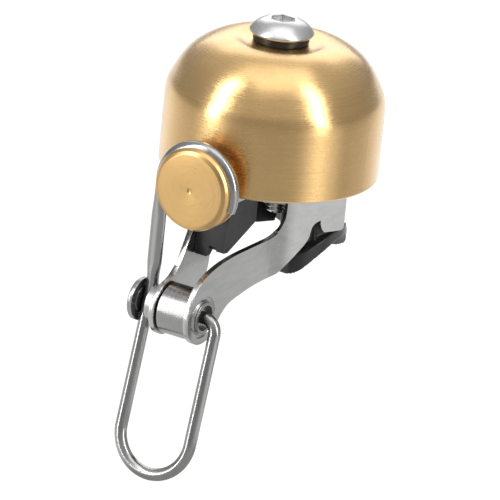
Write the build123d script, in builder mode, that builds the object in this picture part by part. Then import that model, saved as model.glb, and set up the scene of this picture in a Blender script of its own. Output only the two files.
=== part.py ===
from build123d import *
from math import cos, radians, sin, tan
import os

os.makedirs("parts", exist_ok=True)

# A handlebar bell: a brass dome on a bent steel bracket, struck by a brass
# clapper that rides on a looped wire hammer. Millimetres, +Z up, +X along the
# handlebar. The origin is on the axis of the bar, under the middle of the bell.

# ---- driving dimensions ----
bar_radius = 11.1                 # 22.2 mm handlebar
seat_gap = 0.05
seat_radius = bar_radius + seat_gap
boot_thickness = 2.1

hinge_y = -36.0                   # hammer pivot, parallel to the bar
hinge_z = 4.2

dome_y = -12.1                    # dome axis, vertical
dome_radius = 19.2
dome_height = 23.4
dome_wall = 1.25
rim_z = 24.9
shoulder_height = 12.3
dish_radius = 8.6                 # shallow dish in the crown, round the washer
dish_depth = 0.5

sheet = 1.0                       # bracket steel
web_top = 24.2
web_bottom = web_top - sheet
leg_inside = 3.05                 # half the space between the two legs
leg_outside = leg_inside + sheet
bend_y = hinge_y + 23.3
flare_angle = 32.0
flare_sin = sin(radians(flare_angle))
flare_cos = cos(radians(flare_angle))
flare_length = 13.0

pin_radius = 2.25                 # pivot pin stem
bush_radius = 2.3
bush_outside = 2.6
lip_radius = 2.95
lip_thickness = 0.4
barrel_radius = 4.5
barrel_wall = 0.55
head_radius = 3.8
wire_radius = 1.1
loop_left = -7.1
loop_right = 6.9
loop_lean = 13.5                  # degrees the loop stands forward of vertical
loop_drop = 28.9

clapper_z = hinge_z + 22.5
clapper_radius = 7.3
clapper_front = hinge_y - 1.9
clapper_back = hinge_y + 4.1
wire_plane = hinge_y + 0.65
wrap_radius = -loop_left

bolt_radius = 3.0                 # M6 dome bolt
bolt_hole = 3.2
stud_radius = 2.0                 # M4 saddle stud
stud_y = hinge_y + 27.7

dome_top = rim_z + dome_height
dish_floor = dome_top - dish_depth
crown_underside = dish_floor - dome_wall


def hinge_point(y, z):
    """Place a side-view point that is measured from the hammer pivot."""
    return (hinge_y + y, hinge_z + z)


def hinge_points(points):
    """Place a list of side-view points that are measured from the hammer pivot."""
    return [hinge_point(y, z) for y, z in points]


# ---- bell dome: spun brass cup with a dished crown and a small rim lip ----
shoulder_start = dome_top - shoulder_height
dish_lip_drop = 0.15              # the dish's lip stands this far under the crown's top
dish_edge = dish_radius - 2.6     # flat floor of the dish
shoulder = [(13.3, dome_top - 1.65), (16.25, dome_top - 4.2), (18.25, dome_top - 7.6)]
inner_shoulder = [(17.02, dome_top - 7.85), (15.2, dome_top - 4.95), (12.6, dome_top - 2.75)]
inner_crown = 9.0
inner_radius = dome_radius - dome_wall
rim_chamfer = 0.3
rim_width = 1.6
lip_height = 1.1
bush_spigot = 4.0
with BuildPart() as bell_dome:
    with BuildSketch(Plane.XZ.offset(-dome_y)):
        with BuildLine():
            Line((bush_spigot, dish_floor), (dish_edge, dish_floor))
            Spline((dish_edge, dish_floor), (dish_radius, dome_top - dish_lip_drop),
                   tangents=((1, 0), (1, -0.05)))
            Spline([(dish_radius, dome_top - dish_lip_drop), *shoulder, (dome_radius, shoulder_start)],
                   tangents=((1, -0.05), (0, -1)))
            Polyline(
                (dome_radius, shoulder_start), (dome_radius, rim_z + rim_chamfer),
                (dome_radius - rim_chamfer, rim_z), (dome_radius - rim_width, rim_z),
                (inner_radius, rim_z + lip_height), (inner_radius, shoulder_start),
            )
            Spline([(inner_radius, shoulder_start), *inner_shoulder, (inner_crown, crown_underside)],
                   tangents=((0, 1), (-1, 0)))
            Line((inner_crown, crown_underside), (bush_spigot, crown_underside))
            Line((bush_spigot, crown_underside), (bush_spigot, dish_floor))
        make_face()
    revolve(axis=Axis((0, dome_y, 0), (0, 0, 1)))
bell_dome.part.label = "bell_dome"
export_step(bell_dome.part, "parts/bell_dome.step")

# ---- top stack: bolt, washer, bush and inner washer carry the dome ----
top_washer_thickness = 1.5
top_washer_radius = 4.9
with BuildPart() as top_washer:
    with BuildSketch(Plane.XY.offset(dish_floor)):
        with Locations((0, dome_y)):
            Circle(top_washer_radius)
            Circle(bolt_hole, mode=Mode.SUBTRACT)
    extrude(amount=top_washer_thickness)
    chamfer(top_washer.edges().filter_by(GeomType.CIRCLE).group_by(SortBy.RADIUS)[-1], length=0.25)
top_washer.part.label = "top_washer"
export_step(top_washer.part, "parts/top_washer.step")

head_underside = dish_floor + top_washer_thickness
bolt_head_radius = 5.65
bolt_head_height = 2.6
bolt_length = 16.0
bolt_point = 0.5
head_flat_radius = 2.7
head_rim = 0.5
socket_flats = 4.0
socket_depth = 1.5
head_top = head_underside + bolt_head_height
bolt_end = head_underside - bolt_length
with BuildPart() as dome_bolt:
    with BuildSketch(Plane.XZ.offset(-dome_y)):
        with BuildLine():
            Polyline(
                (0, head_top), (0, bolt_end), (bolt_radius - bolt_point, bolt_end),
                (bolt_radius, bolt_end + bolt_point), (bolt_radius, head_underside),
                (bolt_head_radius - 0.2, head_underside), (bolt_head_radius, head_underside + 0.3),
                (bolt_head_radius, head_underside + head_rim),
            )
            ThreePointArc(
                (bolt_head_radius, head_underside + head_rim),
                (bolt_head_radius - 1.2, head_underside + 1.75),
                (head_flat_radius, head_top),
            )
            Line((head_flat_radius, head_top), (0, head_top))
        make_face()
    revolve(axis=Axis((0, dome_y, 0), (0, 0, 1)))
    with BuildSketch(Plane.XY.offset(head_top)):
        with Locations((0, dome_y)):
            RegularPolygon(radius=socket_flats / 2, side_count=6, major_radius=False)
    extrude(amount=-socket_depth, mode=Mode.SUBTRACT)
dome_bolt.part.label = "dome_bolt"
export_step(dome_bolt.part, "parts/dome_bolt.step")

bush_flange = 1.0
bush_flange_radius = 6.0
bush_fit = 0.05
with BuildPart() as isolating_bush:
    with BuildSketch(Plane.XY.offset(crown_underside - bush_flange)):
        with Locations((0, dome_y)):
            Circle(bush_flange_radius)
            Circle(bolt_hole, mode=Mode.SUBTRACT)
    extrude(amount=bush_flange)
    with BuildSketch(Plane.XY.offset(crown_underside)):
        with Locations((0, dome_y)):
            Circle(bush_spigot - bush_fit)
            Circle(bolt_hole, mode=Mode.SUBTRACT)
    extrude(amount=dome_wall)
isolating_bush.part.label = "isolating_bush"
export_step(isolating_bush.part, "parts/isolating_bush.step")

inner_washer_thickness = 1.0
inner_washer_radius = 6.2
post_top = crown_underside - bush_flange - inner_washer_thickness
with BuildPart() as inner_washer:
    with BuildSketch(Plane.XY.offset(post_top)):
        with Locations((0, dome_y)):
            Circle(inner_washer_radius)
            Circle(bolt_hole, mode=Mode.SUBTRACT)
    extrude(amount=inner_washer_thickness)
inner_washer.part.label = "inner_washer"
export_step(inner_washer.part, "parts/inner_washer.step")

# ---- dome post: pillar tapped M6 at the top, with a foot tapped M4 for the
# saddle stud, and a tail riveted through the bracket's web ----
post_radius = 4.5
foot_height = 3.5
tail_radius = 2.0
tail_y = dome_y - 2.4
rivet_radius = 2.8
rivet_height = 0.7
foot_half = 3.6
thread_fit = 0.05                 # tapped holes are drawn this much over the thread
bolt_hole_depth = 14.0
with BuildPart() as dome_post:
    with BuildSketch(Plane.XY.offset(web_top)):
        with Locations((0, dome_y)):
            Circle(post_radius)
    extrude(amount=post_top - web_top)
    with BuildSketch(Plane.XY.offset(web_top)):
        with BuildLine():
            Polyline((-foot_half, stud_y), (-foot_half, dome_y), (foot_half, dome_y), (foot_half, stud_y))
            ThreePointArc((foot_half, stud_y), (0, stud_y + foot_half), (-foot_half, stud_y))
        make_face()
    extrude(amount=foot_height)
    with BuildSketch(Plane.XY.offset(web_bottom - rivet_height)):
        with Locations((0, tail_y)):
            Circle(tail_radius)
    extrude(amount=rivet_height + sheet)
    with BuildSketch(Plane.XY.offset(web_bottom - rivet_height)):
        with Locations((0, tail_y)):
            Circle(rivet_radius)
    extrude(amount=rivet_height)
    with BuildSketch(Plane.XY.offset(post_top)):
        with Locations((0, dome_y)):
            Circle(bolt_radius + thread_fit)
    extrude(amount=-bolt_hole_depth, mode=Mode.SUBTRACT)
    with BuildSketch(Plane.XY.offset(web_top)):
        with Locations((0, stud_y)):
            Circle(stud_radius + thread_fit)
    extrude(amount=foot_height, mode=Mode.SUBTRACT)
dome_post.part.label = "dome_post"
export_step(dome_post.part, "parts/dome_post.step")

# ---- bracket: one strip of steel with a web under the dome, a long near leg
# that flares into the wall beside the bar, a short far leg, and two ears ----
ear_radius = 4.9
web_front = hinge_y + 8.0
far_skirt = 5.0
relief = 1.5                      # slit beside each bend, where leg and wall part from the web
ear_dish_outer = 3.75
ear_dish_inner = 3.05
ear_dish_depth = 0.3
stud_clearance = 0.15
notch_top = (8.3, hinge_z + 11.3)
tab_bottom = hinge_z + 9.0
wall_plane = Plane(
    origin=(leg_inside, bend_y, 0),
    x_dir=(flare_sin, flare_cos, 0),
    z_dir=(flare_cos, -flare_sin, 0),
)
far_wall_plane = Plane(
    origin=(-leg_inside - sheet * flare_cos, bend_y - sheet * flare_sin, 0),
    x_dir=(-flare_sin, flare_cos, 0),
    z_dir=(flare_cos, flare_sin, 0),
)
wall_end_inner = (leg_inside + flare_length * flare_sin, bend_y + flare_length * flare_cos)
wall_end_outer = (wall_end_inner[0] + sheet * flare_cos, wall_end_inner[1] - sheet * flare_sin)
wall_start_outer = (leg_outside, bend_y - sheet * tan(radians(flare_angle / 2)))
with BuildPart() as bracket:
    with BuildSketch(Plane.XY.offset(web_bottom)):
        with BuildLine():
            Line((-leg_outside, web_front), (leg_outside, web_front))
            Line((leg_outside, web_front), wall_start_outer)
            Line(wall_start_outer, wall_end_outer)
            Line(wall_end_outer, wall_end_inner)
            Line(wall_end_inner, (-wall_end_inner[0], wall_end_inner[1]))
            Line((-wall_end_inner[0], wall_end_inner[1]), (-wall_end_outer[0], wall_end_outer[1]))
            Line((-wall_end_outer[0], wall_end_outer[1]), (-wall_start_outer[0], wall_start_outer[1]))
            Line((-wall_start_outer[0], wall_start_outer[1]), (-leg_outside, web_front))
        make_face()
    extrude(amount=sheet)
    # near leg, from the ear to the bend
    with BuildSketch(Plane.YZ.offset(leg_inside)):
        with BuildLine():
            ThreePointArc(hinge_point(-4.4, 2.6), hinge_point(-4.3, -2.35), hinge_point(0, -ear_radius))
            Spline(hinge_points([(0, -ear_radius), (3.4, -3.9), (5.3, -1.6), (7.4, 0.1)]),
                   tangents=((1, 0), (1, 0.55)))
            Spline(hinge_points([(7.4, 0.1), (10.5, 0.95), (15.0, 1.55), (23.3, 1.8)]),
                   tangents=((1, 0.55), (1, 0)))
            Line(hinge_point(23.3, 1.8), hinge_point(23.3, 9.75))
            Spline(hinge_points([(23.3, 9.75), (21.2, 9.2), (19.0, 9.1)]), tangents=((-0.8, -0.3), (-1, 0)))
            Line(hinge_point(19.0, 9.1), hinge_point(13.0, 9.1))
            Spline(hinge_points([(13.0, 9.1), (6.9, 8.9), (2.6, 8.25), (-1.4, 6.75), (-4.4, 2.6)]),
                   tangents=((-1, 0), (-0.15, -1)))
        make_face()
    extrude(amount=sheet)
    # near wall, flared beside the bar, with the notch and the rear tab
    with BuildSketch(wall_plane):
        with BuildLine():
            Line((0, hinge_z + 1.8), (0.6, hinge_z + 1.9))
            Spline([(0.6, hinge_z + 1.9), (2.9, hinge_z + 4.05), (5.0, hinge_z + 6.3),
                    (6.4, hinge_z + 8.6), (6.9, hinge_z + 10.4), notch_top],
                   tangents=((0.6, 0.5), (0.85, 0.35)))
            Spline([notch_top, (8.55, hinge_z + 9.9), (9.3, tab_bottom)],
                   tangents=((-0.05, -1), (1, -0.55)))
            Line((9.3, tab_bottom), (flare_length - 0.9, tab_bottom + 0.15))
            ThreePointArc((flare_length - 0.9, tab_bottom + 0.15),
                          (flare_length - 0.25, tab_bottom + 0.42), (flare_length, tab_bottom + 1.1))
            Line((flare_length, tab_bottom + 1.1), (flare_length, web_top))
            Line((flare_length, web_top), (relief, web_top))
            Line((relief, web_top), (relief, hinge_z + 13.2))
            Spline([(relief, hinge_z + 13.2), (0.85, hinge_z + 10.85), (0, hinge_z + 9.75)],
                   tangents=((0, -1), (-0.8, -0.45)))
            Line((0, hinge_z + 9.75), (0, hinge_z + 1.8))
        make_face()
    extrude(amount=sheet)
    # far leg, short and steep
    with BuildSketch(Plane.YZ.offset(-leg_outside)):
        with BuildLine():
            ThreePointArc(hinge_point(-1.2, 4.75), hinge_point(-4.9, 0), hinge_point(0, -ear_radius))
            Spline(hinge_points([(0, -ear_radius), (4.2, -2.5), (8.0, 0.6), (11.4, 3.0), (12.2, 6.0)]),
                   tangents=((1, 0), (0.08, 1)))
            Line(hinge_point(12.2, 6.0), hinge_point(12.8, web_top - hinge_z))
            Line(hinge_point(12.8, web_top - hinge_z), hinge_point(8.0, web_top - hinge_z))
            Line(hinge_point(8.0, web_top - hinge_z), hinge_point(5.5, 12.4))
            Spline(hinge_points([(5.5, 12.4), (3.5, 8.6), (-1.2, 4.75)]),
                   tangents=((-0.4, -0.8), (-1, -0.25)))
        make_face()
    extrude(amount=sheet)
    # far skirt, which stiffens the flared edge of the web
    with BuildSketch(far_wall_plane):
        with BuildLine():
            Polyline((relief, web_top), (flare_length, web_top), (flare_length, web_top - far_skirt),
                     (4.2, web_top - far_skirt), (relief, web_top - far_skirt / 2), (relief, web_top))
        make_face()
    extrude(amount=sheet)
    # pivot holes with a shallow dish round each, and the web's two holes
    with BuildSketch(Plane.YZ.offset(-leg_outside)):
        with Locations((hinge_y, hinge_z)):
            Circle(bush_outside)
    extrude(amount=2 * leg_outside, mode=Mode.SUBTRACT)
    with BuildSketch(Plane.YZ.offset(leg_outside)):
        with Locations((hinge_y, hinge_z)):
            Circle(ear_dish_outer)
            Circle(ear_dish_inner, mode=Mode.SUBTRACT)
    extrude(amount=-ear_dish_depth, taper=30, mode=Mode.SUBTRACT)
    with BuildSketch(Plane.XY.offset(web_bottom)):
        with Locations((0, tail_y)):
            Circle(tail_radius)
        with Locations((0, stud_y)):
            Circle(stud_radius + stud_clearance)
    extrude(amount=sheet, mode=Mode.SUBTRACT)
bracket.part.label = "bracket"
export_step(bracket.part, "parts/bracket.step")

# ---- saddle block: black moulded block between the legs, with two lugs and a
# strap channel at the front, a clamping lug under the web and a far cheek ----
block_half = 2.95
block_top = web_bottom
cheek_outer = -3.75
saddle_washer_thickness = 0.9
saddle_nut_height = 2.2
nut_window = 4.3
cheek_inner = -2.45
lug_bottom = web_bottom - 2.0
left_lug_width = 2.4
channel_width = 1.5
channel_depth = 1.6
channel_height = 2.3
rivet_room = 0.3
nut_room = 0.3
lug_front = hinge_y + 14.0
lug_rear = hinge_y + 32.0
with BuildPart() as saddle_block:
    with BuildSketch(Plane.YZ.offset(-block_half)):
        with BuildLine():
            Polyline(
                hinge_point(7.9, block_top - hinge_z), hinge_point(6.9, 13.0), hinge_point(6.7, 9.6),
                hinge_point(7.9, 9.5), hinge_point(16.5, 13.1), hinge_point(16.5, block_top - hinge_z),
                hinge_point(7.9, block_top - hinge_z),
            )
        make_face()
    extrude(amount=2 * block_half)
    with BuildSketch(Plane.YZ.offset(-block_half)):
        with BuildLine():
            Polyline(hinge_points([(6.75, 10.0), (6.7, 8.2), (8.0, 8.2), (10.6, 10.8), (6.75, 10.0)]))
        make_face()
    extrude(amount=left_lug_width)
    # strap channel at the foot of the front face
    with BuildSketch(Plane.XY.offset(hinge_z + 8.0)):
        with Locations((0.55, hinge_y + 6.6)):
            Rectangle(channel_width, channel_depth)
    extrude(amount=channel_height, mode=Mode.SUBTRACT)
    # clamping lug under the web
    with BuildSketch(Plane.XY.offset(lug_bottom)):
        with BuildLine():
            Polyline(
                (cheek_outer, lug_front), (block_half, lug_front),
                (block_half, lug_rear), (cheek_outer, lug_rear), (cheek_outer, lug_front),
            )
        make_face()
    extrude(amount=block_top - lug_bottom)
    # far cheek, which comes down to just above the bar
    with BuildSketch(Plane.YZ.offset(cheek_outer)):
        with BuildLine():
            Polyline(
                hinge_point(14.0, block_top - hinge_z), hinge_point(14.0, 13.6), hinge_point(16.5, 13.1),
                hinge_point(26.2, 9.0), hinge_point(32.4, 7.7), hinge_point(33.0, 9.0),
                hinge_point(33.0, block_top - hinge_z), hinge_point(14.0, block_top - hinge_z),
            )
        make_face()
    extrude(amount=cheek_inner - cheek_outer)
    # relief for the rivet head, the stud's hole, and a window round the nut
    with BuildSketch(Plane.XY.offset(block_top - rivet_height - rivet_room)):
        with Locations((0, tail_y)):
            Circle(rivet_radius + rivet_room)
    extrude(amount=rivet_height + rivet_room, mode=Mode.SUBTRACT)
    with BuildSketch(Plane.XY.offset(lug_bottom)):
        with Locations((0, stud_y)):
            Circle(stud_radius + stud_clearance)
    extrude(amount=block_top - lug_bottom, mode=Mode.SUBTRACT)
    with BuildSketch(Plane.XY.offset(lug_bottom)):
        with Locations((0, stud_y)):
            Circle(nut_window)
    extrude(amount=-saddle_washer_thickness - saddle_nut_height - nut_room, mode=Mode.SUBTRACT)
saddle_block.part.label = "saddle_block"
export_step(saddle_block.part, "parts/saddle_block.step")

# ---- saddle stud, spring washer and nut: they clamp the block to the web ----
stud_top = web_top + foot_height
stud_bottom = hinge_z + 11.6
nut_top = lug_bottom - saddle_washer_thickness
stud_point = 0.45
key_radius = 1.0
key_depth = 2.0
washer_radius = 3.5
washer_fit = 0.1
washer_slit = 0.5
nut_half_flats = 3.5
nut_fit = 0.03
with BuildPart() as saddle_stud:
    with BuildSketch(Plane.XY.offset(stud_bottom)):
        with Locations((0, stud_y)):
            Circle(stud_radius)
    extrude(amount=stud_top - stud_bottom)
    chamfer(saddle_stud.edges().filter_by(GeomType.CIRCLE).group_by(Axis.Z)[0], length=stud_point)
    with BuildSketch(Plane.XY.offset(stud_top)):
        with Locations((0, stud_y)):
            RegularPolygon(radius=key_radius, side_count=6, major_radius=False)
    extrude(amount=-key_depth, mode=Mode.SUBTRACT)
saddle_stud.part.label = "saddle_stud"
export_step(saddle_stud.part, "parts/saddle_stud.step")

with BuildPart() as saddle_washer:
    with BuildSketch(Plane.XY.offset(nut_top)):
        with Locations((0, stud_y)):
            Circle(washer_radius)
            Circle(stud_radius + washer_fit, mode=Mode.SUBTRACT)
        with Locations((washer_radius, stud_y)):
            Rectangle(2 * stud_radius, washer_slit, mode=Mode.SUBTRACT)
    extrude(amount=saddle_washer_thickness)
saddle_washer.part.label = "saddle_washer"
export_step(saddle_washer.part, "parts/saddle_washer.step")

with BuildPart() as saddle_nut:
    with BuildSketch(Plane.XY.offset(nut_top - saddle_nut_height)):
        with Locations((0, stud_y)):
            RegularPolygon(radius=nut_half_flats, side_count=6, major_radius=False, rotation=30)
            Circle(stud_radius + nut_fit, mode=Mode.SUBTRACT)
    extrude(amount=saddle_nut_height)
saddle_nut.part.label = "saddle_nut"
export_step(saddle_nut.part, "parts/saddle_nut.step")

# ---- rubber boot: the seat that grips the bar, a body inside the flared wall,
# a ridge that fills the wall's notch, and a pedestal under the web ----
seat_front = -61.0                # degrees from straight up, round the bar
seat_rear = 68.0
boot_radius = seat_radius + boot_thickness
boot_crest = boot_radius - 0.15
boot_rear_radius = seat_radius + 1.2
wall_gap = 0.08


def round_bar(radius, angle):
    """Side-view point at an angle round the bar, measured from straight up."""
    return (radius * sin(radians(angle)), radius * cos(radians(angle)))


def beside_wall(along, inward):
    """Plan point at a distance along the near wall, and inward from its inner face."""
    return (
        leg_inside + along * flare_sin - inward * flare_cos,
        bend_y + along * flare_cos + inward * flare_sin,
    )


boot_plan_near = [(3.3, -9.7), (5.4, -9.7), (6.9, -9.1), (8.2, -7.6), (9.2, -5.4), (9.5, -2.8),
                  (9.3, 0.4), (8.2, 3.2), (6.8, 5.6), (5.9, 7.6), (5.2, 8.9), (3.6, 9.7), (1.0, 10.2)]
boot_plan_far = [(-1.0, 10.2), (-3.4, 9.6), (-5.4, 7.6), (-6.5, 4.0), (-6.0, 1.2), (-4.0, -0.6),
                 (-0.5, -2.8), (1.2, -6.4), (0.9, -11.6)]
body_top = web_bottom - 0.1
body_foot = -2.0                  # below everything that is cut to the seat
body_depth = 2.2
pedestal_foot = 5.0
across = 24.0                     # longer than the boot, for cuts that run right through it
with BuildPart() as rubber_boot:
    with BuildSketch(Plane.XY.offset(body_foot)):
        with BuildLine():
            Line((0.9, -11.8), (3.3, -11.8))
            Line((3.3, -11.8), boot_plan_near[0])
            Spline(boot_plan_near)
            Line(boot_plan_near[-1], boot_plan_far[0])
            Spline(boot_plan_far[:7])
            Line(boot_plan_far[6], boot_plan_far[7])
            Line(boot_plan_far[7], (0.9, -11.8))
        make_face()
    extrude(amount=body_top - body_foot)
    with BuildSketch(Plane.YZ.offset(-across / 2)):
        with BuildLine():
            ThreePointArc(round_bar(seat_radius, seat_front), (0, seat_radius),
                          round_bar(seat_radius, seat_rear))
            Line(round_bar(seat_radius, seat_rear), round_bar(boot_rear_radius, seat_rear))
            ThreePointArc(round_bar(boot_rear_radius, seat_rear), (0, boot_crest),
                          round_bar(boot_radius, seat_front))
            Line(round_bar(boot_radius, seat_front), round_bar(seat_radius, seat_front))
        make_face()
    extrude(amount=across, mode=Mode.INTERSECT)
    # body beside the wall, cut to the seat below
    with BuildSketch(Plane.XY.offset(body_foot)):
        with BuildLine():
            Polyline(
                beside_wall(1.7, wall_gap), beside_wall(12.0, wall_gap), beside_wall(12.0, body_depth),
                beside_wall(2.6, body_depth), beside_wall(1.7, wall_gap),
            )
        make_face()
    extrude(amount=body_top - body_foot)
    # reliefs for the block's lug and for the saddle nut
    with BuildSketch(Plane.XY.offset(lug_bottom - 0.2)):
        with Locations((0, stud_y - 1.0)):
            Rectangle(2 * block_half + 0.4, 12.0)
    extrude(amount=block_top - lug_bottom + 0.2, mode=Mode.SUBTRACT)
    with BuildSketch(Plane.XY.offset(lug_bottom)):
        with Locations((0, stud_y)):
            Circle(nut_window)
    extrude(amount=-saddle_washer_thickness - saddle_nut_height - nut_room, mode=Mode.SUBTRACT)
    # pedestal under the web's rear edge
    with BuildSketch(Plane.XY.offset(pedestal_foot)):
        with Locations((1.2, -0.2)):
            RectangleRounded(7.4, 4.2, 1.0)
    extrude(amount=body_top - pedestal_foot)
    # ridge in the notch
    with BuildSketch(Plane.XY.offset(hinge_z + 4.0)):
        with BuildLine():
            Polyline(
                beside_wall(7.1, 0.6), beside_wall(7.1, -0.1), beside_wall(7.75, -1.05),
                beside_wall(8.3, -0.1), beside_wall(8.3, 0.6), beside_wall(7.1, 0.6),
            )
        make_face()
    extrude(amount=6.0, taper=3)
    # the bar's space
    with BuildSketch(Plane.YZ.offset(-across / 2)):
        Circle(seat_radius)
    extrude(amount=across, mode=Mode.SUBTRACT)
    # nothing hangs below the front of the seat
    with BuildSketch(Plane.YZ.offset(-across / 2)):
        with BuildLine():
            Polyline(round_bar(seat_radius - 3.0, seat_front), round_bar(boot_radius + 3.0, seat_front),
                     (-18.0, -4.0), (-8.0, -4.0), round_bar(seat_radius - 3.0, seat_front))
        make_face()
    extrude(amount=across, mode=Mode.SUBTRACT)
rubber_boot.part.label = "rubber_boot"
export_step(rubber_boot.part, "parts/rubber_boot.step")

# ---- pivot: barrel, two flanged bushes and a spacer on the hinge axis ----
barrel_near = leg_inside - 0.03
barrel_far = -leg_inside + 0.15
cap_thickness = 0.6
barrel_chamfer = 0.25
with BuildPart() as spring_barrel:
    with BuildSketch(Plane.YZ.offset(barrel_far)):
        with Locations((hinge_y, hinge_z)):
            Circle(barrel_radius)
    extrude(amount=barrel_near - barrel_far)
    chamfer(spring_barrel.edges().filter_by(GeomType.CIRCLE), length=barrel_chamfer)
    with BuildSketch(Plane.YZ.offset(barrel_far)):
        with Locations((hinge_y, hinge_z)):
            Circle(barrel_radius - barrel_wall)
    extrude(amount=barrel_near - barrel_far - cap_thickness, mode=Mode.SUBTRACT)
    with BuildSketch(Plane.YZ.offset(barrel_near)):
        with Locations((hinge_y, hinge_z)):
            Circle(bush_outside)
    extrude(amount=-cap_thickness, mode=Mode.SUBTRACT)
spring_barrel.part.label = "spring_barrel"
export_step(spring_barrel.part, "parts/spring_barrel.step")

bush_end = 2.1
lip_round = 0.18
with BuildPart() as near_bush:
    with BuildSketch(Plane.YZ.offset(bush_end)):
        with Locations((hinge_y, hinge_z)):
            Circle(bush_outside)
    extrude(amount=leg_outside - bush_end)
    with BuildSketch(Plane.YZ.offset(leg_outside)):
        with Locations((hinge_y, hinge_z)):
            Circle(lip_radius)
    extrude(amount=lip_thickness)
    fillet(near_bush.edges().filter_by(GeomType.CIRCLE).group_by(Axis.X)[-1], radius=lip_round)
    with BuildSketch(Plane.YZ.offset(bush_end)):
        with Locations((hinge_y, hinge_z)):
            Circle(bush_radius)
    extrude(amount=leg_outside + lip_thickness - bush_end, mode=Mode.SUBTRACT)
near_bush.part.label = "near_bush"
export_step(near_bush.part, "parts/near_bush.step")

with BuildPart() as far_bush:
    add(near_bush.part.mirror(Plane.YZ))
far_bush.part.label = "far_bush"
export_step(far_bush.part, "parts/far_bush.step")

spacer_radius = 3.3
spacer_gap = 0.06
spacer_far = loop_left + wire_radius + spacer_gap
spacer_near = -(leg_outside + lip_thickness) - spacer_gap
with BuildPart() as pivot_spacer:
    with BuildSketch(Plane.YZ.offset(spacer_far)):
        with Locations((hinge_y, hinge_z)):
            Circle(spacer_radius)
            Circle(pin_radius + spacer_gap, mode=Mode.SUBTRACT)
    extrude(amount=spacer_near - spacer_far)
pivot_spacer.part.label = "pivot_spacer"
export_step(pivot_spacer.part, "parts/pivot_spacer.step")

# ---- pivot pin: disc head, stem, a slot that the wire's left leg lies in, and
# a blind bore for the hooked end of its right leg ----
head_inner = loop_left - wire_radius - 0.1
head_thickness = 1.0
pin_near = leg_outside - 0.45
head_round = 0.35
hook_bore = 4.4
slot_reach = 5.0
brazed_gap = 0.02
with BuildPart() as pivot_pin:
    with BuildSketch(Plane.YZ.offset(head_inner - head_thickness)):
        with Locations((hinge_y, hinge_z)):
            Circle(head_radius)
    extrude(amount=head_thickness)
    fillet(pivot_pin.edges().filter_by(GeomType.CIRCLE).group_by(Axis.X)[0], radius=head_round)
    with BuildSketch(Plane.YZ.offset(head_inner)):
        with Locations((hinge_y, hinge_z)):
            Circle(pin_radius)
    extrude(amount=pin_near - head_inner)
    with BuildSketch(Plane.YZ.offset(pin_near)):
        with Locations((hinge_y, hinge_z)):
            Circle(wire_radius + brazed_gap)
    extrude(amount=-hook_bore, mode=Mode.SUBTRACT)
    slot_frame = Plane(
        origin=(loop_left, hinge_y, hinge_z),
        x_dir=(1, 0, 0),
        z_dir=(0, sin(radians(loop_lean)), cos(radians(loop_lean))),
    )
    with BuildSketch(slot_frame.offset(-slot_reach)):
        Circle(wire_radius + brazed_gap)
        with Locations((0, -slot_reach)):
            Rectangle(2 * (wire_radius + brazed_gap), 2 * slot_reach)
    extrude(amount=2 * slot_reach, mode=Mode.SUBTRACT)
pivot_pin.part.label = "pivot_pin"
export_step(pivot_pin.part, "parts/pivot_pin.step")

# ---- torsion spring, coiled round the pin inside the barrel ----
spring_wire = 0.35
spring_coil = 3.15
spring_start = -2.3
spring_pitch = 0.9
spring_height = 4.05
with BuildPart() as torsion_spring:
    with BuildLine() as spring_path:
        Helix(pitch=spring_pitch, height=spring_height, radius=spring_coil,
              center=(spring_start, hinge_y, hinge_z), direction=(1, 0, 0))
    with BuildSketch(Plane(origin=spring_path.line @ 0, z_dir=spring_path.line % 0)):
        Circle(spring_wire)
    sweep(is_frenet=True)
torsion_spring.part.label = "torsion_spring"
export_step(torsion_spring.part, "parts/torsion_spring.step")

# ---- hammer wire: wrapped over the clapper, down past the pivot, round the
# finger loop, and hooked into the near end of the pin ----
wrap_start = -20.0                # degrees, from the clapper's +X side
hook_bend = 2.4
knee_radius = 12.0
loop_half = (loop_right - loop_left) / 2
loop_middle = (loop_right + loop_left) / 2
lean = radians(loop_lean)
knee_up = (wire_plane - hinge_y) / tan(lean)
knee_reach = knee_radius * tan(lean / 2)
hook_end = pin_near - hook_bore + 0.4
wire_low = -(loop_drop - loop_half)


def on_wrap(angle):
    """Point on the wire's centre line where it wraps round the clapper."""
    return (wrap_radius * cos(radians(angle)), wire_plane, clapper_z + wrap_radius * sin(radians(angle)))


def on_loop(x, up):
    """Point in the leaning plane of the finger loop, measured from the pivot."""
    return (x, hinge_y + up * sin(lean), hinge_z + up * cos(lean))


knee_top = (loop_left, wire_plane, hinge_z + knee_up + knee_reach)
knee_bottom = on_loop(loop_left, knee_up / cos(lean) - knee_reach)
bend_45 = hook_bend * (1 - cos(radians(45)))
with BuildPart() as hammer_wire:
    with BuildLine() as wire_path:
        ThreePointArc(on_wrap(wrap_start), on_wrap(90), on_wrap(180))
        Line(on_wrap(180), knee_top)
        TangentArc(knee_top, knee_bottom, tangent=(0, 0, -1))
        Line(knee_bottom, on_loop(loop_left, wire_low))
        ThreePointArc(on_loop(loop_left, wire_low), on_loop(loop_middle, wire_low - loop_half),
                      on_loop(loop_right, wire_low))
        Line(on_loop(loop_right, wire_low), on_loop(loop_right, -hook_bend))
        ThreePointArc(on_loop(loop_right, -hook_bend), on_loop(loop_right - bend_45, -bend_45),
                      on_loop(loop_right - hook_bend, 0))
        Line(on_loop(loop_right - hook_bend, 0), on_loop(hook_end, 0))
    with BuildSketch(Plane(origin=wire_path.line @ 0, z_dir=wire_path.line % 0)):
        Circle(wire_radius)
    sweep()
hammer_wire.part.label = "hammer_wire"
export_step(hammer_wire.part, "parts/hammer_wire.step")

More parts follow.
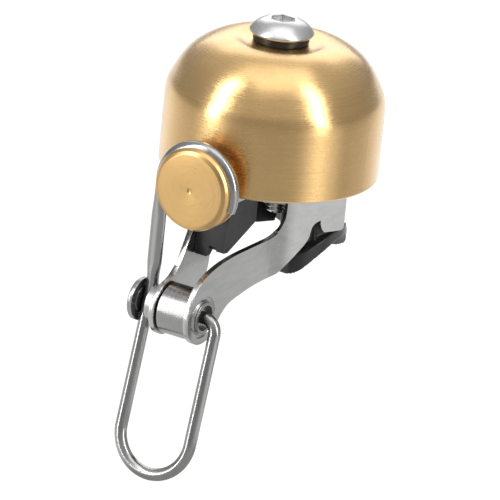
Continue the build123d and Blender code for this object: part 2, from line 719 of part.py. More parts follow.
# ---- clapper: turned brass disc, grooved for the wire, with a striking boss ----
groove_radius = wire_radius + brazed_gap
rear_edge = hinge_y + 2.9
centre_mark = 0.45                # radius of the lathe centre's mark in the front face
with BuildPart() as clapper:
    with BuildSketch(Plane.XY.offset(clapper_z)):
        with BuildLine():
            Polyline(
                (0, clapper_front + 0.18), (centre_mark, clapper_front), (clapper_radius - 0.75, clapper_front),
                (clapper_radius - 0.25, clapper_front + 0.3), (clapper_radius, clapper_front + 0.95),
                (clapper_radius, rear_edge - 0.4), (clapper_radius - 0.5, rear_edge),
                (4.7, rear_edge), (4.5, clapper_back - 0.5), (3.9, clapper_back),
                (0, clapper_back), (0, clapper_front + 0.18),
            )
        make_face()
        with Locations((wrap_radius, wire_plane)):
            Circle(groove_radius, mode=Mode.SUBTRACT)
    revolve(axis=Axis((0, 0, clapper_z), (0, 1, 0)))
clapper.part.label = "clapper"
export_step(clapper.part, "parts/clapper.step")
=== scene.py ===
"""Looks for the handlebar bell: turned, bent and drawn metal, moulded rubber, studio light."""
from math import atan2, cos, pi, radians, sin, sqrt, tan

import bmesh
import bpy
from mathutils import Matrix, Vector


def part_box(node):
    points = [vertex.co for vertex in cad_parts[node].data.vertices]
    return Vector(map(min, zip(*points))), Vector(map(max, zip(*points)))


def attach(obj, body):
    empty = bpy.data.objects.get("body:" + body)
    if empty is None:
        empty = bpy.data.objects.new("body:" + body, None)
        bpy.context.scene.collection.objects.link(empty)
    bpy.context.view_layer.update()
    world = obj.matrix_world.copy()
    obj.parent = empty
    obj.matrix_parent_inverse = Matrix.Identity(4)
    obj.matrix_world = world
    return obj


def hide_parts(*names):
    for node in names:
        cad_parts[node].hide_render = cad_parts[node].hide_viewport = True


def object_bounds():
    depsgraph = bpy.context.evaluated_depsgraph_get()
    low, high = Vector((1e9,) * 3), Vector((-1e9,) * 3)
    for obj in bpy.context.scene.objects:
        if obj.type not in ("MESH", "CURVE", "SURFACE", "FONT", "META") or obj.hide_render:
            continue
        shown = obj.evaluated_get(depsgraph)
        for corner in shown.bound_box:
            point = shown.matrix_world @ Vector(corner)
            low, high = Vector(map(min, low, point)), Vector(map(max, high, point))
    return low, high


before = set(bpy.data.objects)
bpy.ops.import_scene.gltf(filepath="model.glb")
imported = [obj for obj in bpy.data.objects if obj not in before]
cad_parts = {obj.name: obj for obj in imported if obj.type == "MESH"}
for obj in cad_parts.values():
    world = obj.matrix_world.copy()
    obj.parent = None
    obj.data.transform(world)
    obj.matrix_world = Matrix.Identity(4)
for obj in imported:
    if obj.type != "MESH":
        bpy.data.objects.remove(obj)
cad_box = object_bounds()
MM = 0.001


# ---------------------------------------------------------------- places
def middle(node):
    """Centre of a CAD node's box."""
    low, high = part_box(node)
    return (low + high) / 2


def span(node):
    """Size of a CAD node's box."""
    low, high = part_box(node)
    return high - low


DOME_AXIS = Vector((middle("bell_dome").x, middle("bell_dome").y, 0))
PIVOT = Vector((0, middle("spring_barrel").y, middle("spring_barrel").z))
CLAPPER = middle("clapper")
CLAPPER_RADIUS = span("clapper").x / 2
WIRE_RADIUS = 1.1 * MM


# ---------------------------------------------------------------- meshes
def put(name, data):
    """New object holding data, linked into the scene."""
    thing = bpy.data.objects.new(name, data)
    bpy.context.scene.collection.objects.link(thing)
    return thing


def mesh_copy(node):
    """Copy of a CAD node's mesh, in the shared frame."""
    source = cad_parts[node]
    mesh = source.data.copy()
    mesh.transform(source.matrix_world)
    return mesh


def make_object(name, vertices, faces, smooth_angle=35.0):
    """Mesh object, smooth except across edges sharper than smooth_angle."""
    mesh = bpy.data.meshes.new(name)
    mesh.from_pydata([tuple(v) for v in vertices], [], faces)
    mesh.validate()
    work = bmesh.new()
    work.from_mesh(mesh)
    bmesh.ops.remove_doubles(work, verts=work.verts, dist=0.0001 * MM)
    bmesh.ops.recalc_face_normals(work, faces=work.faces)
    limit = radians(smooth_angle)
    for face in work.faces:
        face.smooth = True
    for edge in work.edges:
        edge.smooth = len(edge.link_faces) == 2 and edge.calc_face_angle(0.0) < limit
    work.to_mesh(mesh)
    work.free()
    return put(name, mesh)


def lathe(name, outline, centre, axis, segments):
    """Turns an outline of (radius, height) points round an axis through centre."""
    direction = Vector(axis).normalized()
    side = direction.orthogonal().normalized()
    across = direction.cross(side)
    vertices = []
    for k in range(segments):
        turn = 2 * pi * k / segments
        out = side * cos(turn) + across * sin(turn)
        vertices += [Vector(centre) + out * p[0] + direction * p[1] for p in outline]
    faces = []
    rows = len(outline)
    for k in range(segments):
        here = k * rows
        there = ((k + 1) % segments) * rows
        for i in range(rows - 1):
            faces.append((here + i, here + i + 1, there + i + 1, there + i))
    return make_object(name, vertices, faces)


def tube(name, path, radii, sides=28):
    """Sweeps a round or flattened section along a path. radii(i) gives its two half sizes."""
    count = len(path)
    tangents = []
    for i in range(count):
        before = path[max(i - 1, 0)]
        after = path[min(i + 1, count - 1)]
        tangents.append((after - before).normalized())
    normal = Vector((0, 1, 0))
    if abs(tangents[0].dot(normal)) > 0.9:
        normal = Vector((1, 0, 0))
    vertices = []
    for i in range(count):
        normal = (normal - tangents[i] * normal.dot(tangents[i])).normalized()
        binormal = tangents[i].cross(normal)
        a, b = radii(i)
        for k in range(sides):
            turn = 2 * pi * k / sides
            vertices.append(path[i] + normal * cos(turn) * a + binormal * sin(turn) * b)
    faces = []
    for i in range(count - 1):
        for k in range(sides):
            n = (k + 1) % sides
            here, there = i * sides, (i + 1) * sides
            faces.append((here + k, here + n, there + n, there + k))
    faces.append(tuple(reversed(range(sides))))
    faces.append(tuple(range((count - 1) * sides, count * sides)))
    return make_object(name, vertices, faces)


WELD_GAP = 0.002 * MM              # vertices closer than this are one
SHARP_COPY = 24.0                  # degrees from which a copy's edge is rounded over
SHARP_CAD = 32.0                   # and a carried-over CAD node's edge


def bevelled_copy(node, width, segments=3):
    """Copy of a CAD node with flat faces joined and its sharp edges rounded over."""
    mesh = mesh_copy(node)
    work = bmesh.new()
    work.from_mesh(mesh)
    bmesh.ops.remove_doubles(work, verts=work.verts, dist=WELD_GAP)
    bmesh.ops.dissolve_limit(work, angle_limit=radians(1.0), verts=work.verts, edges=work.edges)
    limit = radians(SHARP_COPY)
    sharp = [e for e in work.edges if len(e.link_faces) == 2 and e.calc_face_angle(0.0) > limit]
    bmesh.ops.bevel(work, geom=sharp, offset=width, segments=segments, profile=0.5,
                    affect="EDGES", clamp_overlap=True, offset_type="OFFSET")
    for face in work.faces:
        face.smooth = True
    for edge in work.edges:
        edge.smooth = True
    work.to_mesh(mesh)
    work.free()
    piece = put(node + "_finished", mesh)
    even = piece.modifiers.new("even", "WEIGHTED_NORMAL")
    even.weight = 100              # the large faces set the normals
    even.keep_sharp = False
    return piece


def soften_cad(node, width, segments=3):
    """Rounds a CAD node's hard edges with modifiers, which leave its own mesh as it is."""
    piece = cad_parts[node]
    weld = piece.modifiers.new("weld", "WELD")
    weld.merge_threshold = WELD_GAP
    flat = piece.modifiers.new("flat", "DECIMATE")
    flat.decimate_type = "DISSOLVE"
    flat.angle_limit = radians(0.6)
    edge = piece.modifiers.new("edge", "BEVEL")
    edge.width = width
    edge.segments = segments
    edge.limit_method = "ANGLE"
    edge.angle_limit = radians(SHARP_CAD)
    edge.harden_normals = True


# ---------------------------------------------------------------- materials
class Nodes:
    """Small helper that builds a node tree by name."""

    def __init__(self, name):
        self.material = bpy.data.materials.new(name)
        self.material.use_nodes = True
        self.tree = self.material.node_tree
        self.tree.nodes.clear()

    def add(self, kind, inputs=None, **settings):
        node = self.tree.nodes.new("ShaderNode" + kind)
        for key, value in settings.items():
            setattr(node, key, value)
        for key, value in (inputs or {}).items():
            socket = node.inputs[key]
            if isinstance(value, bpy.types.NodeSocket):
                self.tree.links.new(value, socket)
            else:
                socket.default_value = value
        return node

    def math(self, operation, a, b=0.0):
        return self.add("Math", {0: a, 1: b}, operation=operation).outputs[0]

    def vector(self, operation, a, b=(0, 0, 0), scale=None):
        inputs = {0: a, 1: b}
        if scale is not None:
            inputs["Scale"] = scale
        node = self.add("VectorMath", inputs, operation=operation)
        return node.outputs["Value" if operation in ("LENGTH", "DOT_PRODUCT") else "Vector"]

    def noise(self, vector, scale, detail=3.0, roughness=0.5):
        inputs = {"Vector": vector, "Scale": scale, "Detail": detail, "Roughness": roughness}
        return self.add("TexNoise", inputs).outputs["Fac"]

    def spread(self, value, low, high, start=0.0, end=1.0):
        """Maps value from start..end onto low..high."""
        inputs = {"Value": value, "From Min": start, "From Max": end,
                  "To Min": low, "To Max": high}
        return self.add("MapRange", inputs).outputs["Result"]

    def mix(self, share, a, b):
        """Colour between a and b."""
        node = self.add("Mix", {0: share}, data_type="RGBA")
        for socket, value in ((node.inputs[6], a), (node.inputs[7], b)):
            if isinstance(value, bpy.types.NodeSocket):
                self.tree.links.new(value, socket)
            else:
                socket.default_value = (*value, 1.0)
        return node.outputs[2]

    def finish(self, **inputs):
        """Principled surface from keyword sockets, such as base_color or roughness."""
        names = {key.replace("_", " ").title(): value for key, value in inputs.items()}
        names = {("IOR" if key == "Ior" else key): value for key, value in names.items()}
        shader = self.add("BsdfPrincipled", names)
        self.add("OutputMaterial", {"Surface": shader.outputs["BSDF"]})
        return self.material

    def edge_mask(self, radius):
        """1 on edges that are handled and polished, 0 on flat stretches."""
        soft = self.add("Bevel", {"Radius": radius}, samples=6).outputs["Normal"]
        true = self.add("NewGeometry").outputs["Normal"]
        return self.spread(self.vector("DOT_PRODUCT", soft, true), 1.0, 0.0, 0.88, 0.995)

    def rest_place(self):
        """Position in the row frame at rest, so that grain moves with its body."""
        return self.add("TexCoord").outputs["Object"]


def turned_grain(nodes, centre, axis, along, round_about):
    """Vector whose noise makes rings round an axis, and the ring's tangent in world space."""
    place = nodes.vector("SUBTRACT", nodes.rest_place(), tuple(centre))
    x, y, z = nodes.add("SeparateXYZ", {0: place}).outputs
    first, second, height = {"X": (y, z, x), "Y": (x, z, y), "Z": (x, y, z)}[axis]
    radius = nodes.math("SQRT", nodes.math("ADD", nodes.math("MULTIPLY", first, first),
                                           nodes.math("MULTIPLY", second, second)))
    divisor = nodes.math("MAXIMUM", radius, 1e-5)
    profile = nodes.math("SUBTRACT", height, radius)
    vector = nodes.add("CombineXYZ", {
        0: nodes.math("MULTIPLY", nodes.math("DIVIDE", first, divisor), round_about),
        1: nodes.math("MULTIPLY", nodes.math("DIVIDE", second, divisor), round_about),
        2: nodes.math("MULTIPLY", profile, along),
    }).outputs[0]
    direction = {"X": (1, 0, 0), "Y": (0, 1, 0), "Z": (0, 0, 1)}[axis]
    ring = nodes.vector("NORMALIZE", nodes.vector("CROSS_PRODUCT", direction, place))
    tangent = nodes.add("VectorTransform", {0: ring}, vector_type="VECTOR",
                        convert_from="OBJECT", convert_to="WORLD").outputs[0]
    return vector, tangent


def straight_grain(nodes, scales, direction):
    """Vector whose noise makes straight streaks, and their tangent in world space."""
    vector = nodes.vector("MULTIPLY", nodes.rest_place(), scales)
    tangent = nodes.add("VectorTransform", {0: direction}, vector_type="VECTOR",
                        convert_from="OBJECT", convert_to="WORLD").outputs[0]
    return vector, tangent


def bend_normal(nodes, bend_y, half_turn, reach):
    """Normal that turns evenly within reach of the upright bends at bend_y, on both walls."""
    place = nodes.add("SeparateXYZ", {0: nodes.rest_place()})
    offset = nodes.math("ABSOLUTE", nodes.math("SUBTRACT", place.outputs["Y"], bend_y))
    near = nodes.spread(offset, 1.0, 0.0, 0.0, reach)
    side = nodes.math("SIGN", place.outputs["X"])
    outward = nodes.add("CombineXYZ", {0: nodes.math("MULTIPLY", side, cos(half_turn)),
                                       1: -sin(half_turn)}).outputs[0]
    normal = nodes.add("NewGeometry").outputs["Normal"]
    facing = nodes.vector("DOT_PRODUCT", normal, outward)
    upright = nodes.math("GREATER_THAN", nodes.math("ABSOLUTE", facing), cos(half_turn * 1.5))
    middle_way = nodes.vector("SCALE", outward, scale=nodes.math("SIGN", facing))
    share = nodes.math("MULTIPLY", near, upright)
    pull = nodes.vector("SCALE", nodes.vector("SUBTRACT", middle_way, normal), scale=share)
    return nodes.vector("NORMALIZE", nodes.vector("ADD", normal, pull))


def scaled(colour, share):
    """Colour made darker or lighter by a share."""
    return tuple(c * share for c in colour)


BRASS = (0.77, 0.505, 0.215)
CLAPPER_BRASS = (0.69, 0.445, 0.185)
BRASS_WORN = (0.92, 0.77, 0.52)
STEEL = (0.50, 0.50, 0.495)
STEEL_WORN = (0.80, 0.80, 0.79)
BARREL_WORN = (0.62, 0.62, 0.61)
METAL_EDGE = 0.22 * MM             # how far wear reaches in from a metal edge
METAL_RELIEF = 0.04 * MM           # depth of the brushed grain
MARK_SCALE = 160.0                 # noise scale of the handling marks
MARKS = 0.12                       # how strongly they show
EDGE_WEAR = 0.6
GRAIN_DARK = 0.86                  # tone of the grain's hollows and of the marks
MARK_DARK = 0.78
LACQUER_ROUGHNESS = 0.22
ALONG_RINGS = 0.25                 # turns from the tangent to the grain's direction


def metal(nodes, grain, tangent, colour, worn, roughness, bump, anisotropic, lacquer=0.0,
          under=None):
    """Brushed metal: grain in colour, roughness and height, with softer handling marks."""
    fine = nodes.noise(grain, 1.0, 6.0, 0.6)
    broad = nodes.noise(nodes.rest_place(), MARK_SCALE, 4.0, 0.6)
    edge = nodes.edge_mask(METAL_EDGE)
    tone = nodes.mix(nodes.spread(fine, 0.0, 1.0, 0.3, 0.7), scaled(colour, GRAIN_DARK), colour)
    tone = nodes.mix(nodes.spread(broad, 0.0, MARKS * 3, 0.45, 0.75), tone,
                     scaled(colour, MARK_DARK))
    tone = nodes.mix(nodes.math("MULTIPLY", edge, EDGE_WEAR), tone, worn)
    rough = nodes.math("ADD", nodes.spread(fine, roughness - 0.05, roughness + 0.07, 0.25, 0.75),
                       nodes.spread(broad, -0.02, MARKS * 0.5, 0.4, 0.8))
    relief = {"Strength": bump, "Distance": METAL_RELIEF, "Height": fine}
    if under:
        relief["Normal"] = under
    height = nodes.add("Bump", relief).outputs["Normal"]
    return nodes.finish(base_color=tone, metallic=1.0, roughness=rough, anisotropic=anisotropic,
                        anisotropic_rotation=ALONG_RINGS, tangent=tangent, normal=height,
                        coat_weight=lacquer, coat_roughness=LACQUER_ROUGHNESS)


def turned_metal(name, centre, axis, colour, worn, roughness=0.28, bump=0.25, anisotropic=0.6,
                 along=9000.0, round_about=1.6, lacquer=0.0):
    """Metal turned or spun on a lathe, with its grain in rings round an axis."""
    nodes = Nodes(name)
    grain, tangent = turned_grain(nodes, centre, axis, along, round_about)
    return metal(nodes, grain, tangent, colour, worn, roughness, bump, anisotropic, lacquer)


def drawn_metal(name, scales, direction, colour, roughness, bump):
    """Steel with a straight grain, such as wire."""
    nodes = Nodes(name)
    grain, tangent = straight_grain(nodes, scales, direction)
    return metal(nodes, grain, tangent, colour, STEEL_WORN, roughness, bump, 0.0)


MOULDED_EDGE = 0.3 * MM
MOULDED_RELIEF = 0.05 * MM
PATCH_SCALE = 260.0                # noise scale of the paler patches
PATCH_LIGHT = 1.7
DUST = (0.11, 0.11, 0.112)
RUBBER_IOR = 1.5


def moulded(name, colour, roughness, grain_scale, bump, dust):
    """Moulded rubber or plastic: fine mould grain, paler worn edges and a little dust."""
    nodes = Nodes(name)
    place = nodes.rest_place()
    grain = nodes.noise(place, grain_scale, 5.0, 0.65)
    patches = nodes.noise(place, PATCH_SCALE, 4.0, 0.6)
    edge = nodes.edge_mask(MOULDED_EDGE)
    tone = nodes.mix(nodes.spread(patches, 0.0, 1.0, 0.35, 0.7), colour,
                     scaled(colour, PATCH_LIGHT))
    tone = nodes.mix(nodes.math("MULTIPLY", edge, dust), tone, DUST)
    rough = nodes.math("ADD", nodes.spread(patches, roughness - 0.08, roughness + 0.08, 0.3, 0.7),
                       nodes.spread(grain, -0.04, 0.04, 0.3, 0.7))
    relief = {"Strength": bump, "Distance": MOULDED_RELIEF, "Height": grain}
    height = nodes.add("Bump", relief).outputs["Normal"]
    return nodes.finish(base_color=tone, roughness=rough, normal=height, ior=RUBBER_IOR)


dome_brass = turned_metal("dome_brass", DOME_AXIS, "Z", BRASS, BRASS_WORN, roughness=0.26,
                          bump=0.32, anisotropic=0.8, along=11000.0, round_about=2.4,
                          lacquer=0.45)
clapper_brass = turned_metal("clapper_brass", CLAPPER, "Y", CLAPPER_BRASS, BRASS_WORN,
                             roughness=0.30, bump=0.10, anisotropic=0.15, along=7000.0,
                             round_about=1.5)
bolt_steel = turned_metal("bolt_steel", DOME_AXIS, "Z", (0.66, 0.66, 0.66), STEEL_WORN,
                          roughness=0.30, bump=0.12, anisotropic=0.2)
post_steel = turned_metal("post_steel", DOME_AXIS, "Z", (0.42, 0.42, 0.41), STEEL_WORN,
                          roughness=0.34)
stud_steel = turned_metal("stud_steel", middle("saddle_stud"), "Z", (0.82, 0.81, 0.79), STEEL_WORN,
                          roughness=0.22, bump=0.05, anisotropic=0.0)
barrel_steel = turned_metal("barrel_steel", PIVOT, "X", (0.34, 0.34, 0.335), BARREL_WORN,
                            roughness=0.24, bump=0.06, anisotropic=0.3, along=5000.0)
pin_steel = turned_metal("pin_steel", PIVOT, "X", (0.34, 0.34, 0.34), STEEL_WORN, roughness=0.26,
                         bump=0.08, anisotropic=0.2)
wire_steel = drawn_metal("wire_steel", (1500.0, 1500.0, 60.0), (0, 0, 1), (0.42, 0.415, 0.41),
                         roughness=0.22, bump=0.05)
plain_steel = drawn_metal("plain_steel", (3000.0, 3000.0, 3000.0), (0, 1, 0), (0.45, 0.45, 0.45),
                          roughness=0.32, bump=0.1)
spring_steel = drawn_metal("spring_steel", (600.0, 5000.0, 5000.0), (1, 0, 0), (0.38, 0.38, 0.39),
                           roughness=0.35, bump=0.1)
BEND_Y = -12.95 * MM               # where the bracket's legs turn outward into its walls
BEND_REACH = 3.0 * MM
FLARE = radians(32.0)
bracket_nodes = Nodes("bracket_steel")
bracket_grain, bracket_tangent = straight_grain(bracket_nodes, (900.0, 160.0, 900.0), (0, 1, 0))
bracket_bend = bend_normal(bracket_nodes, BEND_Y, FLARE / 2, BEND_REACH)
bracket_steel = metal(bracket_nodes, bracket_grain, bracket_tangent, STEEL, STEEL_WORN,
                      roughness=0.24, bump=0.04, anisotropic=0.1, under=bracket_bend)
block_plastic = moulded("block_plastic", (0.009, 0.009, 0.010), 0.42, 5200.0, 0.35, 0.35)
boot_rubber = moulded("boot_rubber", (0.015, 0.015, 0.016), 0.40, 3800.0, 0.30, 0.5)
washer_black = moulded("washer_black", (0.010, 0.010, 0.010), 0.38, 5000.0, 0.25, 0.2)
bush_nylon = moulded("bush_nylon", (0.03, 0.03, 0.03), 0.5, 4200.0, 0.2, 0.3)


def paint(piece, material):
    """Makes material the only one of a piece."""
    piece.data.materials.clear()
    piece.data.materials.append(material)


def dress(piece, material, body, node):
    """Gives a new piece its material and its body, and hides the CAD node it stands for."""
    paint(piece, material)
    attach(piece, body)
    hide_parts(node)


for node_name, finish in {
    "inner_washer": plain_steel, "dome_post": post_steel,
    "saddle_washer": plain_steel, "saddle_nut": plain_steel,
    "spring_barrel": barrel_steel, "near_bush": pin_steel, "far_bush": pin_steel,
    "pivot_spacer": plain_steel, "pivot_pin": pin_steel, "torsion_spring": spring_steel,
    "bell_dome": dome_brass, "dome_bolt": bolt_steel, "top_washer": washer_black,
    "isolating_bush": bush_nylon,
}.items():
    paint(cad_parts[node_name], finish)
dress(bevelled_copy("bracket", 0.12 * MM), bracket_steel, "base", "bracket")
dress(bevelled_copy("saddle_block", 0.2 * MM), block_plastic, "base",
      "saddle_block")
soften_cad("dome_bolt", 0.12 * MM)
soften_cad("top_washer", 0.15 * MM)
soften_cad("pivot_pin", 0.08 * MM)
soften_cad("saddle_nut", 0.15 * MM)


# ---------------------------------------------------------------- rubber boot
def soft_copy(node, voxel, smoothing):
    """Moulded copy of a CAD node: remeshed, with every edge rounded."""
    piece = put(node + "_moulded", mesh_copy(node))
    remesh = piece.modifiers.new("remesh", "REMESH")
    remesh.mode = "VOXEL"
    remesh.voxel_size = voxel
    smooth = piece.modifiers.new("smooth", "SMOOTH")
    smooth.factor = 0.5
    smooth.iterations = smoothing
    depsgraph = bpy.context.evaluated_depsgraph_get()
    result = bpy.data.meshes.new_from_object(piece.evaluated_get(depsgraph))
    piece.modifiers.clear()
    piece.data = result
    for face in result.polygons:
        face.use_smooth = True
    return piece


dress(soft_copy("rubber_boot", 0.14 * MM, 9), boot_rubber, "base", "rubber_boot")


# ---------------------------------------------------------------- threaded stud
THREAD_PITCH = 0.7 * MM
THREAD_DEPTH = 0.42 * MM
THREAD_ROWS = 8                    # rows of vertices in one pitch
CREST = 1.35                       # above 1, the thread's crests are flat
POINT_HEIGHT = 0.35 * MM
POINT_SHARE = 0.88                 # radius at the very end, as a share of the full one
STUD_STEPS = 44
THREAD_SMOOTH = 50.0


def threaded_rod(name, low, high, centre, radius):
    """Screw thread: a helical ridge with a rounded point below and a flat top."""
    rows = int((high - low) / THREAD_PITCH * THREAD_ROWS)
    vertices = []
    for row in range(rows + 1):
        height = low + (high - low) * row / rows
        taper = min(1.0, (height - low) / POINT_HEIGHT)
        end_share = POINT_SHARE + (1 - POINT_SHARE) * sqrt(taper)
        for k in range(STUD_STEPS):
            turn = 2 * pi * k / STUD_STEPS
            phase = (height / THREAD_PITCH - k / STUD_STEPS) % 1.0
            ridge = 1 - abs(2 * phase - 1)
            r = (radius - THREAD_DEPTH * (1 - min(1.0, ridge * CREST))) * end_share
            vertices.append((centre.x + r * cos(turn), centre.y + r * sin(turn), height))
    faces = []
    for row in range(rows):
        for k in range(STUD_STEPS):
            n = (k + 1) % STUD_STEPS
            a, b = row * STUD_STEPS, (row + 1) * STUD_STEPS
            faces.append((a + k, a + n, b + n, b + k))
    faces.append(tuple(reversed(range(STUD_STEPS))))
    faces.append(tuple(range(rows * STUD_STEPS, (rows + 1) * STUD_STEPS)))
    return make_object(name, vertices, faces, THREAD_SMOOTH)


stud_low, stud_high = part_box("saddle_stud")
stud = threaded_rod("stud_thread", stud_low.z, stud_high.z, middle("saddle_stud"),
                    span("saddle_stud").x / 2)
dress(stud, stud_steel, "base", "saddle_stud")

# ---------------------------------------------------------------- hammer wire
LOOP_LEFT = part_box("hammer_wire")[0].x + WIRE_RADIUS
LOOP_LEAN = radians(13.5)          # how far the loop stands forward of vertical
LOOP_HALF = 7.0 * MM
LOOP_DROP = 28.9 * MM
WRAP_RADIUS = PIVOT.x - LOOP_LEFT
WRAP_Y = PIVOT.y + 0.65 * MM
WRAP_START = radians(-20)
KNEE_RADIUS = 12.0 * MM
HOOK_BEND = 2.4 * MM
HOOK_END = -0.4 * MM
FLAT_TOP = 16.5 * MM               # the left leg is pressed flat between these heights
FLAT_END = 5.0 * MM                # above the pivot
FLAT_RISE = 2.0 * MM               # over which the pressing starts
FLAT_OVER = 3.0 * MM               # past FLAT_TOP, where the wire is round again
FLAT_FALL = 4.0 * MM               # over which the pressing ends
FLAT_WIDER = 0.28                  # shares by which the pressed stretch is wider and thinner
FLAT_THINNER = 0.22


def loop_point(x, height):
    """Point in the leaning plane of the finger loop."""
    return Vector((x, PIVOT.y + height * sin(LOOP_LEAN), PIVOT.z + height * cos(LOOP_LEAN)))


def arc(centre, first, second, start, end, steps):
    """Points on an arc round centre, from its radius vectors first and second."""
    turns = [start + (end - start) * i / steps for i in range(steps + 1)]
    return [centre + first * cos(t) + second * sin(t) for t in turns]


def stretch(start, end, steps):
    """Points along a straight stretch, without its two ends."""
    return [start.lerp(end, i / steps) for i in range(1, steps)]


def hammer_path():
    """Centre line of the wire: wrap, left leg, knee, loop, right leg and hook."""
    drop = Vector((0, -sin(LOOP_LEAN), -cos(LOOP_LEAN)))
    wrap = arc(Vector((0, WRAP_Y, CLAPPER.z)), Vector((WRAP_RADIUS, 0, 0)),
               Vector((0, 0, WRAP_RADIUS)), WRAP_START, pi, 60)
    knee_up = (WRAP_Y - PIVOT.y) / tan(LOOP_LEAN)
    reach = KNEE_RADIUS * tan(LOOP_LEAN / 2)
    knee_top = Vector((LOOP_LEFT, WRAP_Y, PIVOT.z + knee_up + reach))
    centre = knee_top + Vector((0, -KNEE_RADIUS, 0))
    knee = arc(centre, Vector((0, KNEE_RADIUS, 0)), Vector((0, 0, -KNEE_RADIUS)),
               0, LOOP_LEAN, 8)
    leg_low = loop_point(LOOP_LEFT, LOOP_HALF - LOOP_DROP)
    middle_x = LOOP_LEFT + LOOP_HALF
    bend = arc(loop_point(middle_x, LOOP_HALF - LOOP_DROP), Vector((-LOOP_HALF, 0, 0)),
               drop * LOOP_HALF, 0, pi, 48)
    right_x = LOOP_LEFT + 2 * LOOP_HALF
    right_top = loop_point(right_x, -HOOK_BEND)
    hook = arc(loop_point(right_x - HOOK_BEND, -HOOK_BEND), Vector((HOOK_BEND, 0, 0)),
               drop * -HOOK_BEND, 0, pi / 2, 14)
    end = Vector((HOOK_END, PIVOT.y, PIVOT.z))
    path = wrap + stretch(wrap[-1], knee[0], 24) + knee + stretch(knee[-1], leg_low, 16) + bend
    return path + stretch(bend[-1], right_top, 16) + hook + [end]


wire_path = hammer_path()


def wire_section(i):
    """Half sizes of the wire, round except where the upper left leg is pressed."""
    height = wire_path[i].z - PIVOT.z
    share = 0.0
    if wire_path[i].x < LOOP_LEFT + 0.01 * MM and height > 0:
        rise = min(1.0, max(0.0, (height - FLAT_END) / FLAT_RISE))
        fall = min(1.0, max(0.0, (FLAT_TOP + FLAT_OVER - height) / FLAT_FALL))
        share = rise * fall
    return (WIRE_RADIUS * (1 - FLAT_THINNER * share), WIRE_RADIUS * (1 + FLAT_WIDER * share))


wire = tube("wire_drawn", wire_path, wire_section)
dress(wire, wire_steel, "hammer", "hammer_wire")

# ---------------------------------------------------------------- clapper
FRONT_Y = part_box("clapper")[0].y
DEPTH = span("clapper").y
GROOVE = WIRE_RADIUS + 0.02 * MM   # radius of the groove that the wire lies in
GROOVE_AT = WRAP_Y - FRONT_Y
GROOVE_STEPS = 24
# radius and distance behind the front face, in mm: face with its centre mark and rounded
# rim, then the rear rim and the striking boss
FACE = [(0.0, 0.16), (0.3, 0.10), (0.5, 0.0), (6.35, 0.02), (6.95, 0.28), (7.3, 0.85)]
BOSS = [(7.3, 4.15), (7.2, 4.5), (6.8, 4.8), (4.7, 4.8), (4.55, 5.5), (4.3, 5.85), (3.9, 6.0)]


def clapper_outline():
    """Half section of the clapper, as (radius, distance behind the front face)."""
    proud = CLAPPER_RADIUS - WRAP_RADIUS
    reach = sqrt(GROOVE ** 2 - proud ** 2)
    start = atan2(-reach, proud)
    sweep = -2 * pi - 2 * start
    outline = [Vector((r * MM, d * MM)) for r, d in FACE]
    for i in range(GROOVE_STEPS + 1):
        t = start + sweep * i / GROOVE_STEPS
        outline.append(Vector((WRAP_RADIUS + GROOVE * cos(t), GROOVE_AT + GROOVE * sin(t))))
    outline += [Vector((r * MM, d * MM)) for r, d in BOSS]
    outline.append(Vector((0.0, DEPTH)))
    return outline


clapper = lathe("clapper_turned", clapper_outline(), (CLAPPER.x, FRONT_Y, CLAPPER.z),
                (0, 1, 0), 180)
round_edge = clapper.modifiers.new("edge", "BEVEL")
round_edge.width = 0.1 * MM
round_edge.segments = 3
round_edge.limit_method = "ANGLE"
round_edge.angle_limit = radians(16)
dress(clapper, clapper_brass, "hammer", "clapper")


# ---------------------------------------------------------------- studio
VIEW_AZIMUTH = 30.0
VIEW_ELEVATION = 20.0
VIEW_ROLL = 5.8                    # degrees the bell leans to the right in the picture
FRAME_WIDTH = 86.5 * MM            # width of the picture at the bell
LENS = 400.0
SENSOR = 36.0
CENTRE_RIGHT = 11.42 * MM          # picture's centre, right of and above the pivot
CENTRE_UP = 10.55 * MM


def towards(azimuth, elevation):
    """Unit vector from the bell at an azimuth and elevation in degrees; 0 is the front."""
    a, e = radians(azimuth), radians(elevation)
    return Vector((sin(a) * cos(e), -cos(a) * cos(e), sin(e)))


def area_light(name, azimuth, elevation, distance, size, brightness):
    """Soft box at a direction from the dome, facing it, with the given brightness."""
    back = towards(azimuth, elevation)
    light = bpy.data.lights.new(name, "AREA")
    light.shape = "RECTANGLE"
    light.size, light.size_y = size
    light.energy = brightness * pi * size[0] * size[1]
    lamp = put(name, light)
    lamp.location = middle("bell_dome") + back * distance
    lamp.rotation_euler = (-back).to_track_quat("-Z", "Y").to_euler()
    lamp.visible_camera = False


def place_camera():
    """Camera at the view's angle, rolled, with the pivot off its centre."""
    back = towards(VIEW_AZIMUTH, VIEW_ELEVATION)
    right = Vector((cos(radians(VIEW_AZIMUTH)), sin(radians(VIEW_AZIMUTH)), 0))
    up = back.cross(right)
    roll = radians(VIEW_ROLL)
    tilted_right = right * cos(roll) + up * sin(roll)
    tilted_up = up * cos(roll) - right * sin(roll)
    target = PIVOT + tilted_right * CENTRE_RIGHT + tilted_up * CENTRE_UP
    target += back * (middle("bell_dome") - target).dot(back)
    eye = target + back * (FRAME_WIDTH * LENS / SENSOR)
    data = bpy.data.cameras.new("camera")
    data.lens = LENS
    data.sensor_width = SENSOR
    data.clip_start = 0.01
    data.clip_end = 20.0
    camera = put("camera", data)
    turn = Matrix((tilted_right, tilted_up, back)).transposed().to_4x4()
    camera.matrix_world = Matrix.Translation(eye) @ turn
    bpy.context.scene.camera = camera


place_camera()

FLOOR_Z = cad_box[0].z - 0.2 * MM
FLOOR_HALF = 3.0
FLOOR_SEEN = 0.97                  # how bright the camera sees the floor
GLOW_DIM = 0.34                    # painted light: glow of the floor that reflections see, away from the glowing strips
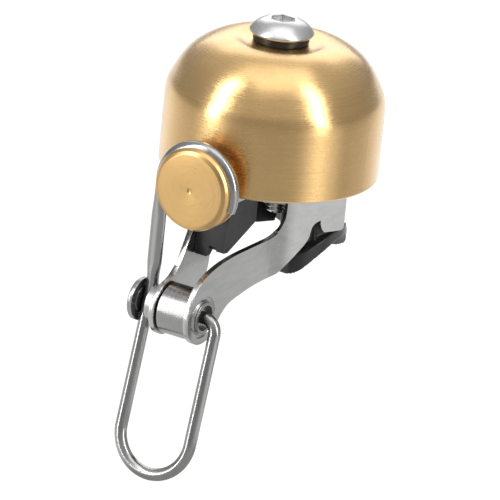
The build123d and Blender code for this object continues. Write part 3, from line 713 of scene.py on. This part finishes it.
# painted light: glowing strips in the floor's own emission, seen only by reflected rays and
# standing in for lamps: azimuth from the camera's, half width and glow
GLOW_STRIPS = [(-62, 26, 0.5), (54, 26, 0.55), (120, 50, 0.15), (180, 80, 0.62), (-115, 40, 0.3)]
corners = [(-1, -1), (1, -1), (1, 1), (-1, 1)]
floor_mesh = bpy.data.meshes.new("floor")
floor_mesh.from_pydata([(x * FLOOR_HALF, y * FLOOR_HALF, FLOOR_Z) for x, y in corners],
                       [], [(0, 1, 2, 3)])
floor = put("floor", floor_mesh)
floor_nodes = Nodes("floor_white")
floor_grain = floor_nodes.noise(floor_nodes.rest_place(), 900.0, 3.0)
floor_tone = floor_nodes.mix(floor_grain, (0.14, 0.14, 0.14), (0.16, 0.16, 0.16))
floor_diffuse = floor_nodes.add("BsdfDiffuse", {"Color": floor_tone})
floor_geometry = floor_nodes.add("NewGeometry")
spot = floor_nodes.vector("SUBTRACT", floor_geometry.outputs["Position"], tuple(DOME_AXIS))
away = floor_nodes.vector("NORMALIZE", floor_nodes.vector("MULTIPLY", spot, (1, 1, 0)))


def strip_glow(azimuth, half_width, strength):
    """Painted light: glow of a strip of the floor at an azimuth, fading to its sides."""
    facing = floor_nodes.vector("DOT_PRODUCT", away, tuple(towards(azimuth, 0)))
    inputs = {"Value": facing, "From Min": cos(radians(half_width)), "From Max": 1.0,
              "To Min": 0.0, "To Max": strength}
    return floor_nodes.add("MapRange", inputs, interpolation_type="SMOOTHSTEP").outputs["Result"]


glow = GLOW_DIM
for strip_azimuth, half_width, strength in GLOW_STRIPS:
    strip = strip_glow(VIEW_AZIMUTH + strip_azimuth, half_width, strength)
    glow = floor_nodes.math("ADD", strip, glow)
# the camera sees the floor evenly bright; every other ray sees the painted glowing strips
seen_directly = floor_nodes.add("LightPath").outputs["Is Camera Ray"]
brightness = floor_nodes.add("Mix", {0: seen_directly}, data_type="FLOAT")
floor_nodes.tree.links.new(glow, brightness.inputs[2])
brightness.inputs[3].default_value = FLOOR_SEEN
floor_glow = floor_nodes.add("Emission", {"Color": (1, 1, 1, 1), "Strength": brightness.outputs[0]})
floor_top = floor_nodes.add("AddShader", {0: floor_diffuse.outputs[0], 1: floor_glow.outputs[0]})
# from below, the camera looks through the floor at the bell's underside
from_below = floor_nodes.math("MULTIPLY", floor_geometry.outputs["Backfacing"], seen_directly)
floor_clear = floor_nodes.add("BsdfTransparent")
floor_look = floor_nodes.add("MixShader", {0: from_below, 1: floor_top.outputs[0],
                                           2: floor_clear.outputs[0]})
floor_nodes.add("OutputMaterial", {"Surface": floor_look.outputs[0]})
floor_mesh.materials.append(floor_nodes.material)

area_light("left_box", VIEW_AZIMUTH - 63, 24, 0.42, (0.075, 0.52), 9.0)
area_light("right_box", VIEW_AZIMUTH + 51, 28, 0.42, (0.075, 0.48), 8.0)
area_light("top_box", VIEW_AZIMUTH + 10, 80, 0.45, (0.4, 0.4), 1.2)
area_light("back_box", VIEW_AZIMUTH + 180, 30, 0.6, (0.5, 0.4), 1.4)

HORIZON = (0.34, 0.34, 0.35, 1)
ZENITH = (0.85, 0.85, 0.86, 1)
SKY_STRENGTH = 0.8
world = bpy.data.worlds.new("studio")
bpy.context.scene.world = world
world.use_nodes = True
nodes, links = world.node_tree.nodes, world.node_tree.links
nodes.clear()
coordinates = nodes.new("ShaderNodeTexCoord")
split = nodes.new("ShaderNodeSeparateXYZ")
links.new(coordinates.outputs["Generated"], split.inputs[0])
sky = nodes.new("ShaderNodeValToRGB")
sky.color_ramp.elements[0].color = HORIZON
sky.color_ramp.elements[1].position = 0.9
sky.color_ramp.elements[1].color = ZENITH
links.new(split.outputs["Z"], sky.inputs["Fac"])
background = nodes.new("ShaderNodeBackground")
links.new(sky.outputs["Color"], background.inputs["Color"])
background.inputs["Strength"].default_value = SKY_STRENGTH
world_output = nodes.new("ShaderNodeOutputWorld")
links.new(background.outputs[0], world_output.inputs[0])
bpy.context.scene.view_settings.view_transform = "Standard"
